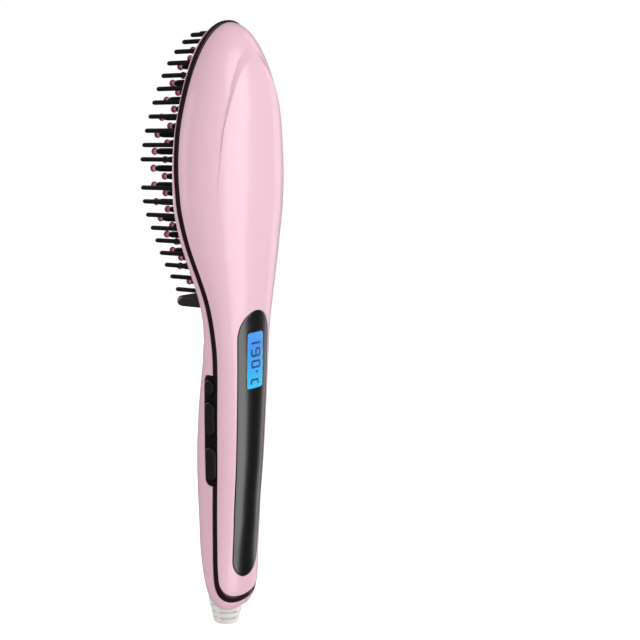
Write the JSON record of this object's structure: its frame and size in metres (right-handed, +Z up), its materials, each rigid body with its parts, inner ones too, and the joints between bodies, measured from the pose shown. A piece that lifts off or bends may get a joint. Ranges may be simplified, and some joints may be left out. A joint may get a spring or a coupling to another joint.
{
  "type": "heated hair straightening brush",
  "caption": "Handheld heated straightening brush with oval bristle head, black back panel with lit display, side buttons and swivelling cord outlet.",
  "frame": {"origin": "centre of the hand grip, on the axis of the handle", "axes": "+Z up the brush to the top of the head, +Y the bristle side, -Y the back with the display, buttons on -X"},
  "size_m": [0.0716, 0.0452, 0.2775],
  "materials": {
    "pink_shell": "gloss",
    "gloss_black": "high gloss",
    "trim_dark": "satin gloss",
    "button_dark": "satin",
    "clear_window": "clear gloss",
    "lcd": "lit blue",
    "light_guide": "frosted",
    "black_plastic": "satin",
    "guard_plastic": "satin",
    "tine_coating": "satin black",
    "silicone_red": "translucent gloss",
    "aluminium": "satin",
    "ceramic": "matte ceramic",
    "film": "amber film",
    "spring_steel": "brushed",
    "shield": "mica",
    "board_green": "solder mask",
    "component_black": "moulded",
    "component_colour": "coated",
    "brass": "polished",
    "wire": "silicone insulation",
    "screw_steel": "zinc plated",
    "white_plastic": "translucent white"
  },
  "bodies": {
    "handset": {"back_shell": "pink_shell", "front_shell": "pink_shell", "trim_band": "trim_dark", "button_bezel": "trim_dark", "tact_switches": "component_black", "button_board": "board_green", "back_panel": "gloss_black", "display_window": "clear_window", "lcd_glass": "lcd", "lcd_backlight": "light_guide", "lcd_frame": "component_black", "control_board": "board_green", "board_screws": "screw_steel", "film_capacitor": "component_colour", "smoothing_capacitor": "aluminium", "triac": "component_black", "controller_chip": "component_black", "board_fuse": "ceramic", "bristle_frame": "black_plastic", "finger_guard": "guard_plastic", "guard_bristles": "guard_plastic", "frame_screws": "screw_steel", "heater_plate": "aluminium", "heated_tines": "tine_coating", "tine_tips": "silicone_red", "ptc_heaters": "ceramic", "heater_film": "film", "heater_clamp": "spring_steel", "heater_screws": "screw_steel", "heat_shield": "shield", "thermistor": "component_black", "thermal_fuse": "aluminium", "heater_wires": "wire", "swivel_housing": "component_black", "contact_springs": "brass", "supply_wires": "wire", "shell_screws": "screw_steel"},
    "power_button": {"power_button": "button_dark"},
    "plus_button": {"plus_button": "button_dark"},
    "minus_button": {"minus_button": "button_dark"},
    "cord_outlet": {"strain_relief": "white_plastic", "swivel_rotor": "white_plastic", "slip_rings": "brass"}
  },
  "joints": [
    {"name": "power_button_press", "type": "slide", "parent": "handset", "child": "power_button", "axis": [1, 0, 0], "range_m": [0, 0.0006], "stiffness_N_per_m": 2500, "springref_m": -0.0001},
    {"name": "plus_button_press", "type": "slide", "parent": "handset", "child": "plus_button", "axis": [1, 0, 0], "range_m": [0, 0.0006], "stiffness_N_per_m": 2500, "springref_m": -0.0001},
    {"name": "minus_button_press", "type": "slide", "parent": "handset", "child": "minus_button", "axis": [1, 0, 0], "range_m": [0, 0.0006], "stiffness_N_per_m": 2500, "springref_m": -0.0001},
    {"name": "cord_swivel", "type": "hinge", "parent": "handset", "child": "cord_outlet", "pos_m": [0, 0.001, -0.06], "axis": [0, 0, 1], "continuous": true}
  ]
}
